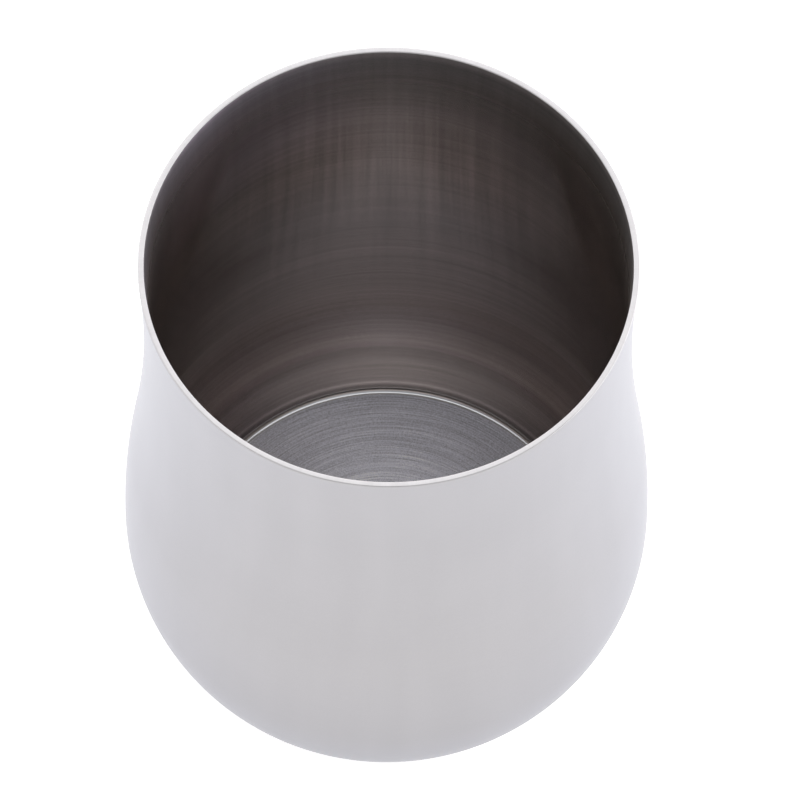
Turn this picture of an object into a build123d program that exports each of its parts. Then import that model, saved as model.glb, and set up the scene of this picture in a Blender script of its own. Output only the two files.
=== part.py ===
"""Deep drawn cup: one piece of satin stainless steel sheet.

A round blank is drawn into a straight cup. Its wall is then bulged low down above a short
straight taper, drawn in to a slight waist and opened again at the mouth, and the lip is
trimmed level. The sheet keeps one gauge from the flat base to the lip.

Millimetres, +Z up. The origin is the middle of the underside.
"""
import os
from math import atan2, cos, degrees, radians, sin, tan

from build123d import *

# Sheet
gauge = 1.0

# Outside diameters, from the mouth down. The foot is measured where its taper would
# meet the underside without the round on that corner.
mouth_diameter = 78.0
waist_diameter = 76.8
belly_diameter = 84.8
foot_diameter = 67.9

# Heights above the underside, and the waist's depth below the mouth. The foot's taper,
# if it ran on, would reach the belly's diameter at the corner height.
cup_height = 105.3
turn_height = 47.0
belly_height = 24.4
corner_height = 14.1
waist_depth = 18.9

# Round inside the foot corner, and the edges broken on the trimmed lip
foot_inside_round = 1.2
lip_outside_break = 0.3
lip_inside_break = 0.2

mouth_radius = mouth_diameter / 2
waist_radius = waist_diameter / 2
belly_radius = belly_diameter / 2
foot_radius = foot_diameter / 2
waist_height = cup_height - waist_depth

# The lower belly's arc rounds the corner between the foot's taper and the upright side,
# as far from that corner on the one as on the other.
taper_slope = atan2(belly_radius - foot_radius, corner_height)
corner_reach = belly_height - corner_height
belly_curve = corner_reach / tan(taper_slope / 2)
taper_top = (
    belly_radius - corner_reach * sin(taper_slope),
    corner_height - corner_reach * cos(taper_slope),
)

# Two arcs with upright ends meet smoothly anywhere on the chord between those ends,
# so the point where the hollow waist turns into the belly lies on that chord.
turn_share = (turn_height - belly_height) / (waist_height - belly_height)
turn_radius = belly_radius + turn_share * (waist_radius - belly_radius)

# The flare bends away from upright by twice its chord's slant. Its arc runs on a little
# above the mouth, and that waste is trimmed off.
flare_bend = 2 * degrees(atan2(mouth_radius - waist_radius, waist_depth))
flare_curve = abs(waist_depth / sin(radians(flare_bend)))
trim_waste = 2 * gauge
untrimmed_bend = flare_bend * (1 + trim_waste / waist_depth)

with BuildPart() as drawn_cup:
    with BuildSketch(Plane.XZ) as sheet_section:
        # Outer face of the sheet, from the middle of the base to the untrimmed edge
        with BuildLine():
            base = Line((0, 0), (foot_radius, 0))
            taper = Line(base @ 1, taper_top)
            lower_belly = JernArc(taper @ 1, taper % 1, radius=belly_curve, arc_size=degrees(taper_slope))
            upper_belly = TangentArc(lower_belly @ 1, (turn_radius, turn_height), tangent=(0, 1))
            waist = TangentArc((waist_radius, waist_height), upper_belly @ 1, tangent=(0, -1))
            JernArc(waist @ 0, tangent=(0, 1), radius=flare_curve, arc_size=-untrimmed_bend)
            # Inner face, one gauge away all along
            offset(amount=gauge, side=Side.LEFT, closed=True)
        make_face()

        # Lip, trimmed level
        split(bisect_by=Plane((0, cup_height, 0), z_dir=(0, 1, 0)), keep=Keep.BOTTOM)

        # Foot corner, bent round one centre inside and out
        inner_corner = sheet_section.vertices().sort_by_distance((foot_radius, gauge))[0]
        fillet(inner_corner, foot_inside_round)
        outer_corner = sheet_section.vertices().sort_by_distance((foot_radius, 0))[0]
        fillet(outer_corner, foot_inside_round + gauge)

        # Both edges of the lip are broken
        lip_ends = sheet_section.vertices().group_by(Axis.Y)[-1].sort_by(Axis.X)
        chamfer(lip_ends[0], min(lip_inside_break, 0.45 * gauge))
        lip_ends = sheet_section.vertices().group_by(Axis.Y)[-1].sort_by(Axis.X)
        chamfer(lip_ends[-1], min(lip_outside_break, 0.45 * gauge))
    revolve(axis=Axis.Z)

drawn_cup.part.label = "drawn_cup"

os.makedirs("parts", exist_ok=True)
export_step(drawn_cup.part, "parts/drawn_cup.step")
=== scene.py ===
"""Looks of a deep drawn cup in stainless steel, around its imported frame. Metres, +Z up."""
import math

import bpy
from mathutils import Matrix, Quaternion, Vector


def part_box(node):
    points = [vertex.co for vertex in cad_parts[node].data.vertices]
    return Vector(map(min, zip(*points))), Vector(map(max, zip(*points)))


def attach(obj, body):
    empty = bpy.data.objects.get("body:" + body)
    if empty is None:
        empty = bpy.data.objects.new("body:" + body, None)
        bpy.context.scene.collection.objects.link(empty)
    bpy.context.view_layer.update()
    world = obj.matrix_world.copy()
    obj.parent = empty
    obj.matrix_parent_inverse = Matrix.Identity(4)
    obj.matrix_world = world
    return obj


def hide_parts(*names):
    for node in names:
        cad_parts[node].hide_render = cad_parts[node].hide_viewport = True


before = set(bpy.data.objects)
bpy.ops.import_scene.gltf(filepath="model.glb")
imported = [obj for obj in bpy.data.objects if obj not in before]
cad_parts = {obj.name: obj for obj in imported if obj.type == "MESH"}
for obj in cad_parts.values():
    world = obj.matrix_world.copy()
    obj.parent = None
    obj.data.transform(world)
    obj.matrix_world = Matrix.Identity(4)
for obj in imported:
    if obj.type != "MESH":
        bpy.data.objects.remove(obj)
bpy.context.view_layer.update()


# Drawn cup
# One round blank of stainless steel sheet, deep drawn, bulged low down above a short taper
# and opened at the mouth. It is a single piece, from the flat base to the trimmed lip.
_, (belly_radius, _, cup_height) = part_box("drawn_cup")

gauge = 0.0010
mouth_radius = 0.0390
waist_radius = 0.0384
foot_radius = 0.03395
turn_height = 0.0470
belly_height = 0.0244
corner_height = 0.0141
waist_depth = 0.0189
waist_height = cup_height - waist_depth
foot_inside_round = 0.0012
foot_outside_round = foot_inside_round + gauge
lip_outside_round = 0.00024
lip_inside_round = 0.00022

# How finely the mesh follows the sheet: the step along an arc, the fewest steps in one, and
# the steps in each other stretch of the section and once round the cup
sheet_step = 0.0010
fewest_arc_steps = 6
taper_steps = 8
round_steps = 10
underside_steps = 24
floor_steps = 30
turning_steps = 288

# The middle of the underside is closed inside this radius, and neither face of the sheet has
# a point nearer to its lip corner than this, so that the small rounds have room
centre_radius = 0.00002
lip_clearance = 0.0006


def upright_arc(upright, end):
    """Points of the arc that is upright at one end and passes through the other."""
    run = end[0] - upright[0]
    rise = end[1] - upright[1]
    curve = (run * run + rise * rise) / (2 * run)
    turn = 2 * math.atan2(abs(run), abs(rise))
    count = max(fewest_arc_steps, round(abs(curve) * turn / sheet_step))
    points = []
    for i in range(count + 1):
        angle = turn * i / count
        points.append((
            upright[0] + curve * (1 - math.cos(angle)),
            upright[1] + math.copysign(abs(curve) * math.sin(angle), rise),
        ))
    return points


def outer_face():
    """Outer face of the sheet in a half section, from the foot's sharp corner to the lip."""
    belly = (belly_radius, belly_height)
    waist = (waist_radius, waist_height)
    turn_share = (turn_height - belly_height) / (waist_height - belly_height)
    turn = (belly_radius + turn_share * (waist_radius - belly_radius), turn_height)
    slope = math.atan2(belly_radius - foot_radius, corner_height)
    reach = belly_height - corner_height
    taper_top = (belly_radius - reach * math.sin(slope), corner_height - reach * math.cos(slope))
    taper = []
    for i in range(taper_steps + 1):
        share = i / taper_steps
        taper.append((foot_radius + (taper_top[0] - foot_radius) * share, taper_top[1] * share))
    lower_belly = upright_arc(belly, taper_top)[::-1]
    upper_belly = upright_arc(belly, turn)
    hollow = upright_arc(waist, turn)[::-1]
    flare = upright_arc(waist, (mouth_radius, cup_height))
    return taper + lower_belly[1:] + upper_belly[1:] + hollow[1:] + flare[1:]


def moved_in(points, distance):
    """The same line moved square to itself towards the axis."""
    moved = []
    for i, point in enumerate(points):
        before = points[max(i - 1, 0)]
        after = points[min(i + 1, len(points) - 1)]
        along = Vector((after[0] - before[0], after[1] - before[1])).normalized()
        moved.append((point[0] - along.y * distance, point[1] + along.x * distance))
    return moved


def rounded_corner(before, corner, after, radius):
    """Points of the round of that radius between two straight sides of a corner."""
    corner = Vector(corner)
    back = (Vector(before) - corner).normalized()
    on = (Vector(after) - corner).normalized()
    half = back.angle(on) / 2
    centre = corner + (back + on).normalized() * (radius / math.sin(half))
    start = corner + back * (radius / math.tan(half)) - centre
    end = corner + on * (radius / math.tan(half)) - centre
    sweep = start.angle_signed(end)
    points = []
    for i in range(round_steps + 1):
        angle = -sweep * i / round_steps
        points.append((
            centre.x + start.x * math.cos(angle) - start.y * math.sin(angle),
            centre.y + start.x * math.sin(angle) + start.y * math.cos(angle),
        ))
    return points


def clear_of(points, corner, distance):
    """The points of a line that are further than that from a corner."""
    return [p for p in points if math.dist(p, corner) > distance]


def crossing(points, height):
    """Where a line first crosses a height."""
    for low, high in zip(points, points[1:]):
        if (low[1] - height) * (high[1] - height) <= 0:
            share = (height - low[1]) / (high[1] - low[1])
            return (low[0] + share * (high[0] - low[0]), height)
    return points[-1]


outer = outer_face()
inner = moved_in(outer, gauge)

# The four corners of the section, and a point on the sheet beyond the round of each
outer_corner = (foot_radius, 0.0)
inner_corner = crossing(inner, gauge)
outer_lip = (mouth_radius, cup_height)
inner_lip = (inner[-1][0], cup_height)
above_outer_corner = next(p for p in outer if p[1] > foot_outside_round)
above_inner_corner = next(p for p in inner if p[1] > gauge + foot_inside_round)
below_outer_lip = outer[-3]
below_inner_lip = inner[-3]

foot_out = rounded_corner((0.0, 0.0), outer_corner, above_outer_corner, foot_outside_round)
foot_in = rounded_corner(above_inner_corner, inner_corner, (0.0, gauge), foot_inside_round)
lip_out = rounded_corner(below_outer_lip, outer_lip, inner_lip, lip_outside_round)
lip_in = rounded_corner(outer_lip, inner_lip, below_inner_lip, lip_inside_round)

side_out = [p for p in outer if p[1] > foot_out[-1][1]]
side_in = [p for p in inner if foot_in[0][1] < p[1] < cup_height]
side_out = clear_of(side_out, outer_lip, lip_clearance)
side_in = clear_of(side_in, inner_lip, lip_clearance)

underside = []
underside_reach = foot_out[0][0] - centre_radius
for i in range(underside_steps):
    underside.append((centre_radius + underside_reach * i / underside_steps, 0.0))
floor = []
floor_reach = foot_in[-1][0]
for i in range(1, floor_steps):
    floor.append((floor_reach * (1 - i / floor_steps), gauge))

# Stretches of the section with a finish of their own, from the middle of the underside over
# the lip to the middle of the floor. The finishes follow below in the same order.
halfway = round_steps // 2
zones = {
    "underside": underside,
    "outside": foot_out + side_out + lip_out[:halfway],
    "lip": lip_out[halfway:] + lip_in,
    "inside wall": side_in[::-1] + foot_in[:1],
    "inside corner": foot_in[1:],
    "floor": floor,
}


def turned_mesh(name, zones):
    """One closed mesh turned round the Z axis, with a material number for each zone."""
    section = []
    numbers = []
    for number, points in enumerate(zones.values()):
        section += points
        numbers += [number] * len(points)
    vertices = []
    for radius, height in section:
        for i in range(turning_steps):
            angle = 2 * math.pi * i / turning_steps
            vertices.append((radius * math.sin(angle), -radius * math.cos(angle), height))
    faces = []
    looks = []
    for k in range(len(section) - 1):
        low = k * turning_steps
        high = low + turning_steps
        for i in range(turning_steps):
            j = (i + 1) % turning_steps
            faces.append((low + i, low + j, high + j, high + i))
            looks.append(numbers[k + 1])
    last = (len(section) - 1) * turning_steps
    faces.append(tuple(range(turning_steps))[::-1])
    faces.append(tuple(range(last, last + turning_steps)))
    looks += [numbers[0], numbers[-1]]
    mesh = bpy.data.meshes.new(name)
    mesh.from_pydata(vertices, [], faces)
    mesh.polygons.foreach_set("material_index", looks)
    mesh.shade_smooth()
    return mesh


cup = bpy.data.objects.new("cup", turned_mesh("cup", zones))
bpy.context.scene.collection.objects.link(cup)

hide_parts("drawn_cup")
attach(cup, "root")


# Marks in the metal
# Turning and polishing leave marks that are long and thin round the axis, drawing leaves
# them long and thin down the wall. Every finish of the cup is bare steel with such marks.
def place(tree, kind, feeds, **settings):
    """One shader node, with each socket fed by another node's socket or by a value."""
    made = tree.nodes.new(kind)
    for name, value in settings.items():
        setattr(made, name, value)
    for name, feed in feeds.items():
        if isinstance(feed, bpy.types.NodeSocket):
            tree.links.new(feed, made.inputs[name])
        else:
            made.inputs[name].default_value = feed
    return made


def reckoned(tree, operation, *values):
    """A sum, product or the like of values that change from point to point."""
    return place(tree, "ShaderNodeMath", dict(enumerate(values)), operation=operation).outputs[0]


def reckoned_xyz(tree, operation, *vectors):
    """A sum, product or the like of points, directions or colours."""
    made = place(tree, "ShaderNodeVectorMath", dict(enumerate(vectors)), operation=operation)
    return made.outputs[0]


def scaled(tree, vector, scale):
    """A direction or a colour times a value."""
    made = place(tree, "ShaderNodeVectorMath", {0: vector, "Scale": scale}, operation="SCALE")
    return made.outputs[0]


def split_xyz(tree, vector):
    """The three parts of a point or a direction."""
    return place(tree, "ShaderNodeSeparateXYZ", {0: vector}).outputs


def flattened(tree, position):
    """A point brought straight down to the height of the underside."""
    return reckoned_xyz(tree, "MULTIPLY", position, (1, 1, 0))


def new_group(name, inputs, outputs):
    """An empty node group with named inputs and outputs."""
    group = bpy.data.node_groups.new(name, "ShaderNodeTree")
    for socket, kind in inputs.items():
        group.interface.new_socket(socket, in_out="INPUT", socket_type=kind)
    for socket, kind in outputs.items():
        group.interface.new_socket(socket, in_out="OUTPUT", socket_type=kind)
    return group, group.nodes.new("NodeGroupInput"), group.nodes.new("NodeGroupOutput")


# Marks of one kind, by how many there are to a millimetre across them and to a radian round
# the cup. They come from noise, which seldom leaves the range that is spread out here.
millimetres = 1000.0
noise_detail = 3.0
noise_low = 0.3
noise_high = 0.7
marks, given, out = new_group(
    "worked_marks",
    {
        "Position": "NodeSocketVector",
        "Distance": "NodeSocketFloat",
        "Per mm": "NodeSocketFloat",
        "Per radian": "NodeSocketFloat",
        "Softness": "NodeSocketFloat",
    },
    {"Marks": "NodeSocketFloat"},
)
around = reckoned_xyz(marks, "NORMALIZE", flattened(marks, given.outputs["Position"]))
around = split_xyz(marks, scaled(marks, around, given.outputs["Per radian"]))
across = reckoned(marks, "MULTIPLY", given.outputs["Distance"], millimetres)
across = reckoned(marks, "MULTIPLY", across, given.outputs["Per mm"])
spot = place(marks, "ShaderNodeCombineXYZ", {"X": around["X"], "Y": around["Y"], "Z": across})
noise = place(
    marks, "ShaderNodeTexNoise",
    {
        "Vector": spot.outputs[0],
        "Scale": 1.0,
        "Detail": noise_detail,
        "Roughness": given.outputs["Softness"],
    },
)
spread = place(
    marks, "ShaderNodeMapRange",
    {
        "Value": noise.outputs[0],
        "From Min": noise_low,
        "From Max": noise_high,
        "To Min": -1.0,
        "To Max": 1.0,
    },
)
marks.links.new(spread.outputs[0], out.inputs["Marks"])

# How four kinds of marks add up to a shade between the metal's dark and light tone, from a
# shade midway between the two
middle_shade = 0.5
mark_kinds = ("Lines", "Streaks", "Bands", "Grain")
shade_inputs = {}
for kind in mark_kinds:
    shade_inputs[kind] = "NodeSocketFloat"
    shade_inputs[kind + " weight"] = "NodeSocketFloat"
shade, given, out = new_group("worked_shade", shade_inputs, {"Shade": "NodeSocketFloat"})
total = middle_shade
for kind in mark_kinds:
    weight = given.outputs[kind + " weight"]
    total = reckoned(shade, "MULTIPLY_ADD", given.outputs[kind], weight, total)
shade.links.new(total, out.inputs["Shade"])

# The metal's dark and light tone lie this share below and above its colour
tone_contrast = 0.5

# The colour sockets of a mix node go by number, as its other kinds of socket share their names
mix_first = 6
mix_last = 7
mix_result = 2


def worked(tree, position, distance, per_mm, per_radian, softness=0.6):
    """The marks of one kind at each point of the metal."""
    feeds = {
        "Position": position, "Distance": distance,
        "Per mm": per_mm, "Per radian": per_radian, "Softness": softness,
    }
    return place(tree, "ShaderNodeGroup", feeds, node_tree=marks).outputs["Marks"]


def mixed(tree, amount, first, last):
    """A colour that goes from the first to the last, and on past them, by an amount."""
    feeds = {0: amount, mix_first: first, mix_last: last}
    made = place(tree, "ShaderNodeMix", feeds, data_type="RGBA", clamp_factor=False)
    return made.outputs[mix_result]


def shaded(tree, colour, **weights):
    """The metal's colour, lighter and darker by the marks in it and their weights."""
    feeds = {}
    for kind, (source, weight) in weights.items():
        feeds[kind.capitalize()] = source
        feeds[kind.capitalize() + " weight"] = weight
    amount = place(tree, "ShaderNodeGroup", feeds, node_tree=shade).outputs["Shade"]
    dark = [part * (1 - tone_contrast) for part in colour] + [1]
    light = [part * (1 + tone_contrast) for part in colour] + [1]
    return mixed(tree, amount, dark, light)


def bumped(tree, shader, height, depth):
    """Marks as real grooves of that depth."""
    bump = place(tree, "ShaderNodeBump", {"Height": height, "Strength": 1.0, "Distance": depth})
    tree.links.new(bump.outputs[0], shader.inputs["Normal"])


# Underside
# The flat of the blank that the punch left at the bottom, which the cup stands on. It is
# satin as the side is, with the faint rings of its own turning.

# Gloss that is turned by a quarter spreads up the sheet, as grooves round the axis make it
quarter_turn = 0.25


def steel(name, roughness, anisotropic, metallic):
    """Bare steel for the cup's next zone, its finest grooves running round the axis."""
    material = bpy.data.materials.new(name)
    material.use_nodes = True
    cup.data.materials.append(material)
    tree = material.node_tree
    shader = tree.nodes["Principled BSDF"]
    shader.inputs["Metallic"].default_value = metallic
    shader.inputs["Roughness"].default_value = roughness
    shader.inputs["Anisotropic"].default_value = anisotropic
    shader.inputs["Anisotropic Rotation"].default_value = quarter_turn
    tangent = place(tree, "ShaderNodeTangent", {}, direction_type="RADIAL", axis="Z")
    tree.links.new(tangent.outputs[0], shader.inputs["Tangent"])
    position = place(tree, "ShaderNodeTexCoord", {}).outputs["Object"]
    return tree, shader, position


def radius_of(tree, position):
    """Distance from the axis."""
    flat = flattened(tree, position)
    return place(tree, "ShaderNodeVectorMath", {0: flat}, operation="LENGTH").outputs["Value"]


base_steel = (0.50, 0.49, 0.505)
tree, shader, position = steel("satin_underside", roughness=0.45, anisotropic=0.5, metallic=1.0)
radius = radius_of(tree, position)
lines = worked(tree, position, radius, per_mm=1.5, per_radian=1.4, softness=0.75)
grain = worked(tree, position, radius, per_mm=4.0, per_radian=110.0, softness=0.8)
colour = shaded(tree, base_steel, lines=(lines, 0.08), grain=(grain, 0.05))
tree.links.new(colour, shader.inputs["Base Color"])
bumped(tree, shader, lines, depth=0.0000010)


# Outside
# The outer face of the sheet, finished to an even satin from the foot to the lip, with only
# a breath of grain and cloudiness. It shines faintly blue at grazing angles.
def height_of(tree, position):
    """Height above the underside."""
    return split_xyz(tree, position)["Z"]


side_steel = (0.377, 0.3655, 0.374)
grazing_tint = (0.92, 0.94, 1.0, 1)
tree, shader, position = steel("satin_outside", roughness=0.36, anisotropic=0.3, metallic=0.93)
shader.inputs["Specular Tint"].default_value = grazing_tint
height = height_of(tree, position)
lines = worked(tree, position, height, per_mm=3.0, per_radian=6.0)
streaks = worked(tree, position, height, per_mm=0.02, per_radian=7.0, softness=0.4)
bands = worked(tree, position, height, per_mm=0.05, per_radian=0.6, softness=0.4)
grain = worked(tree, position, height, per_mm=5.0, per_radian=160.0, softness=0.7)
colour = shaded(
    tree, side_steel,
    lines=(lines, 0.006), streaks=(streaks, 0.016), bands=(bands, 0.016), grain=(grain, 0.025),
)
tree.links.new(colour, shader.inputs["Base Color"])
bumped(tree, shader, grain, depth=0.0000010)


# Lip
# The edge of the sheet at the mouth, trimmed level and ground bright, with both of its
# corners broken.
lip_steel = (0.470, 0.458, 0.468)
tree, shader, position = steel("bright_lip", roughness=0.34, anisotropic=0.0, metallic=1.0)
height = height_of(tree, position)
lines = worked(tree, position, height, per_mm=4.0, per_radian=12.0)
grain = worked(tree, position, height, per_mm=8.0, per_radian=120.0)
colour = shaded(tree, lip_steel, lines=(lines, 0.04), grain=(grain, 0.03))
tree.links.new(colour, shader.inputs["Base Color"])
bumped(tree, shader, grain, depth=0.0000010)


# Inside wall
# The inner face of the sheet, warm grey and turned, with soft bands and fine lines round it.
# It has faint streaks down it, marks in part and painted highlight in part, plainest down its
# back, and a painted shadow line and a painted highlight line near the foot.
wall_steel = (0.7215, 0.65, 0.6208)
wall_roughness = 0.18
wall_metallic = 0.93

# Light and shade painted into the steel by height in millimetres, with lightness and warmth: a
# painted shadow line and a painted highlight line near the foot, a painted highlight above the
# taper, painted shade on the wall over it, and a painted highlight on the edge under the lip
wall_painted_light_by_height = (
    (1.5, 0.56, -0.03), (1.6, 0.36, -0.03), (2.05, 0.36, -0.03), (2.1, 0.96, -0.03),
    (2.45, 0.96, -0.03), (2.55, 0.56, -0.03), (6.6, 0.61, -0.03), (6.75, 0.48, -0.02),
    (8.3, 0.58, -0.01), (9.6, 0.86, 0.0), (11.0, 0.78, 0.0), (12.5, 0.73, 0.0),
    (14.5, 0.62, 0.01), (18.0, 0.51, 0.04), (24.0, 0.445, 0.06), (34.0, 0.42, 0.065),
    (56.0, 0.36, 0.08), (72.0, 0.39, 0.08), (82.0, 0.32, 0.07), (92.0, 0.265, 0.05),
    (98.0, 0.265, 0.02), (101.0, 0.275, -0.01), (103.5, 0.27, -0.03), (105.3, 0.50, -0.02),
)


def painted_by_height(tree, colour, height, tones):
    """The metal's colour with light and shade painted on by height, and made warmer or cooler."""
    share = reckoned(tree, "DIVIDE", height, cup_height)
    ramp = place(tree, "ShaderNodeValToRGB", {"Fac": share})
    stops = ramp.color_ramp.elements
    # A new ramp has two stops of its own: one goes, and the other takes the lowest tone
    stops.remove(stops[1])
    for number, (at_height, lightness, warmth) in enumerate(tones):
        at_share = at_height / (millimetres * cup_height)
        stop = stops.new(at_share) if number else stops[0]
        stop.position = at_share
        stop.color = (lightness * (1 + warmth), lightness, lightness * (1 - warmth), 1)
    return reckoned_xyz(tree, "MULTIPLY", colour, ramp.outputs[0])


def changing(tree, source, first, last, **settings):
    """A value that goes from the first to the last, each given as a pair: where, and how much."""
    start, at_start = first
    end, at_end = last
    feeds = {
        "Value": source, "From Min": start, "From Max": end,
        "To Min": at_start, "To Max": at_end,
    }
    return place(tree, "ShaderNodeMapRange", feeds, **settings).outputs[0]


tree, shader, position = steel(
    "turned_wall", roughness=wall_roughness, anisotropic=0.8, metallic=wall_metallic,
)
height = height_of(tree, position)
lines = worked(tree, position, height, per_mm=1.6, per_radian=0.8)
streaks = worked(tree, position, height, per_mm=0.012, per_radian=22.0, softness=0.65)
bands = worked(tree, position, height, per_mm=0.16, per_radian=0.5, softness=0.4)
grain = worked(tree, position, height, per_mm=5.0, per_radian=90.0, softness=0.7)

# The streaks fade out towards the foot, are strongest on the back two thirds of the way up, where
# they are also a painted highlight, and are faint all round under the lip
to_back = split_xyz(tree, position)["Y"]
streaks_with_painted_highlight = changing(tree, to_back, (0.029, 0.07), (0.036, 0.22))
streaks_low = changing(tree, height, (0.020, 0.0), (0.060, streaks_with_painted_highlight))
streaks_all = changing(tree, height, (0.080, streaks_low), (0.098, 0.08))
colour = shaded(
    tree, wall_steel,
    lines=(lines, 0.12), streaks=(streaks, streaks_all), bands=(bands, 0.05), grain=(grain, 0.10),
)
# Light and shade painted into the wall's colour by height
colour = painted_by_height(tree, colour, height, wall_painted_light_by_height)

# A painted reflection of pale, bluish light under the lip on the left, strongest close to the lip
plain = (1, 1, 1, 1)
full_painted_reflection = (1.70, 1.68, 1.95, 1)
to_left = split_xyz(tree, position)["X"]
painted_reflection = changing(tree, to_left, (-0.003, 0.0), (-0.028, 1.0))
painted_reflection = changing(tree, to_left, (-0.031, painted_reflection), (-0.037, 0.4))
painted_reflection = changing(tree, height, (0.074, 0.0), (0.087, painted_reflection))
stronger = changing(tree, height, (0.098, 1.0), (0.104, 1.5))
# The painted reflection grows stronger close to the lip
painted_reflection = reckoned(tree, "MULTIPLY", painted_reflection, stronger)
colour = reckoned_xyz(tree, "MULTIPLY", colour, mixed(tree, painted_reflection, plain, full_painted_reflection))
tree.links.new(colour, shader.inputs["Base Color"])

# The steel is duller towards the lip
rougher = changing(tree, height, (0.084, wall_roughness), (0.104, 0.33))
tree.links.new(rougher, shader.inputs["Roughness"])
duller = changing(tree, height, (0.086, wall_metallic), (0.104, 0.89))
tree.links.new(duller, shader.inputs["Metallic"])
bumped(tree, shader, lines, depth=0.0000006)


# Inside corner
# The round between wall and floor, burnished by the punch's edge, so smoother than both. Up
# from the floor its colour is painted pale, then dark, then pale, and then dark again as far as
# the wall:
# painted highlight lines with painted dark reflections between them.
corner_steel = (0.93, 0.945, 0.985)
corner_painted_lines = (
    (1.0, 0.92, 0.0), (1.09, 0.92, 0.0), (1.11, 0.25, 0.0), (1.21, 0.25, 0.0),
    (1.24, 0.98, 0.0), (1.46, 0.98, 0.0), (1.50, 0.40, 0.0), (1.7, 0.40, 0.0),
)
tree, shader, position = steel("burnished_corner", roughness=0.08, anisotropic=0.0, metallic=0.65)
height = height_of(tree, position)
lines = worked(tree, position, height, per_mm=4.0, per_radian=12.0)
grain = worked(tree, position, height, per_mm=8.0, per_radian=120.0)
colour = shaded(tree, corner_steel, lines=(lines, 0.04), grain=(grain, 0.03))
# Painted highlight and reflection lines by height
tree.links.new(painted_by_height(tree, colour, height, corner_painted_lines), shader.inputs["Base Color"])
bumped(tree, shader, grain, depth=0.0000005)


# Floor
# The flat of the blank under the punch, turned in fine rings round the middle. It is bluish
# and lighter than the wall, with a painted highlight that makes it palest in the middle and
# painted shade that darkens it towards the wall.
floor_steel = (0.70, 0.71, 0.795)
tree, shader, position = steel("turned_floor", roughness=0.42, anisotropic=0.79, metallic=0.93)
radius = radius_of(tree, position)
lines = worked(tree, position, radius, per_mm=4.5, per_radian=1.4, softness=0.75)
streaks = worked(tree, position, radius, per_mm=0.02, per_radian=14.0)
bands = worked(tree, position, radius, per_mm=0.12, per_radian=0.5, softness=0.4)
grain = worked(tree, position, radius, per_mm=4.0, per_radian=110.0, softness=0.8)
colour = shaded(
    tree, floor_steel,
    lines=(lines, 0.30), streaks=(streaks, 0.01), bands=(bands, 0.04), grain=(grain, 0.30),
)
# Painted highlight in the middle of the floor and painted shade towards the wall
painted_light_by_radius = changing(tree, radius, (0.016, 1.14), (0.033, 0.9))
tree.links.new(scaled(tree, colour, painted_light_by_radius), shader.inputs["Base Color"])
bumped(tree, shader, lines, depth=0.0000010)


# Table
# A plain white surface under the cup, wide enough for every view. It glows a little, so
# that it stays white and throws no shadow, as on a light table.
half_width = 4.0
table_white = (0.8, 0.8, 0.8, 1)
table_roughness = 0.9
glow_white = (1, 1, 1, 1)
glow_strength = 0.6
corners = [
    (-half_width, -half_width, 0), (half_width, -half_width, 0),
    (half_width, half_width, 0), (-half_width, half_width, 0),
]
table_mesh = bpy.data.meshes.new("table")
table_mesh.from_pydata(corners, [], [(0, 1, 2, 3)])
table = bpy.data.objects.new("table", table_mesh)
bpy.context.scene.collection.objects.link(table)

table_top = bpy.data.materials.new("white_table")
table_top.use_nodes = True
shader = table_top.node_tree.nodes["Principled BSDF"]
shader.inputs["Base Color"].default_value = table_white
shader.inputs["Roughness"].default_value = table_roughness
shader.inputs["Emission Color"].default_value = glow_white
shader.inputs["Emission Strength"].default_value = glow_strength
table_mesh.materials.append(table_top)


# Studio
# A soft white tent: bright overhead and behind, dim overhead on the camera's side, less
# bright off to the sides, with a lamp low on the right and a weaker one low on the left.
studio = bpy.data.worlds.new("studio")
studio.use_nodes = True
tree = studio.node_tree


def fading(source, first, last):
    """A smooth change of brightness between two directions, each paired with its brightness."""
    return changing(tree, source, first, last, interpolation_type="SMOOTHSTEP")


towards = split_xyz(tree, place(tree, "ShaderNodeTexCoord", {}).outputs["Generated"])
to_right = towards["X"]
to_back = towards["Y"]
upwards = towards["Z"]

# Overhead, where the camera's side grows brighter from left to right
over_camera = 0.43
more_on_right = 0.5
over_back = 1.75
camera_side = reckoned(tree, "MULTIPLY_ADD", to_right, more_on_right, over_camera)
roof = fading(to_back, (-0.30, camera_side), (0.10, over_back))
middle = fading(reckoned(tree, "ABSOLUTE", to_right), (0.1, 1.0), (0.5, 0.6))
roof = reckoned(tree, "MULTIPLY", roof, middle)

# All round, brighter behind
walls = fading(upwards, (0.3, 1.15), (0.5, 1.0))
back_wall = fading(to_back, (0.1, 0.0), (0.6, 1.1))
walls = reckoned(tree, "ADD", walls, back_wall)
tent = fading(upwards, (0.65, walls), (0.9, roof))

right_lamp = fading(to_right, (0.78, 0.0), (0.95, 2.4))
left_lamp = fading(to_right, (-0.9, 0.3), (-0.55, 0.0))
lamps = reckoned(tree, "ADD", right_lamp, left_lamp)
background = tree.nodes["Background"]
background.inputs["Color"].default_value = (1, 1, 1, 1)
tree.links.new(reckoned(tree, "ADD", tent, lamps), background.inputs["Strength"])
bpy.context.scene.world = studio
bpy.context.scene.view_settings.view_transform = "Standard"


# Camera
# A long lens well back from the cup and above it, turned down to look into the mouth and on
# to the front of the belly.
camera_distance = 1.520
camera_elevation = math.radians(61.2)
camera_roll = math.radians(0.7)
aim = Vector((0.0020, 0.0, 0.0605))
sensor_width_mm = 36.0
lens_mm = 440.9

camera_data = bpy.data.cameras.new("camera")
camera_data.sensor_width = sensor_width_mm
camera_data.lens = lens_mm
camera = bpy.data.objects.new("camera", camera_data)
bpy.context.scene.collection.objects.link(camera)
back = Vector((0.0, -math.cos(camera_elevation), math.sin(camera_elevation)))
camera.location = Vector((0.0, 0.0, cup_height)) + camera_distance * back
turned = (aim - camera.location).to_track_quat("-Z", "Y")
camera.rotation_mode = "QUATERNION"
camera.rotation_quaternion = turned @ Quaternion((0, 0, 1), camera_roll)
bpy.context.scene.camera = camera
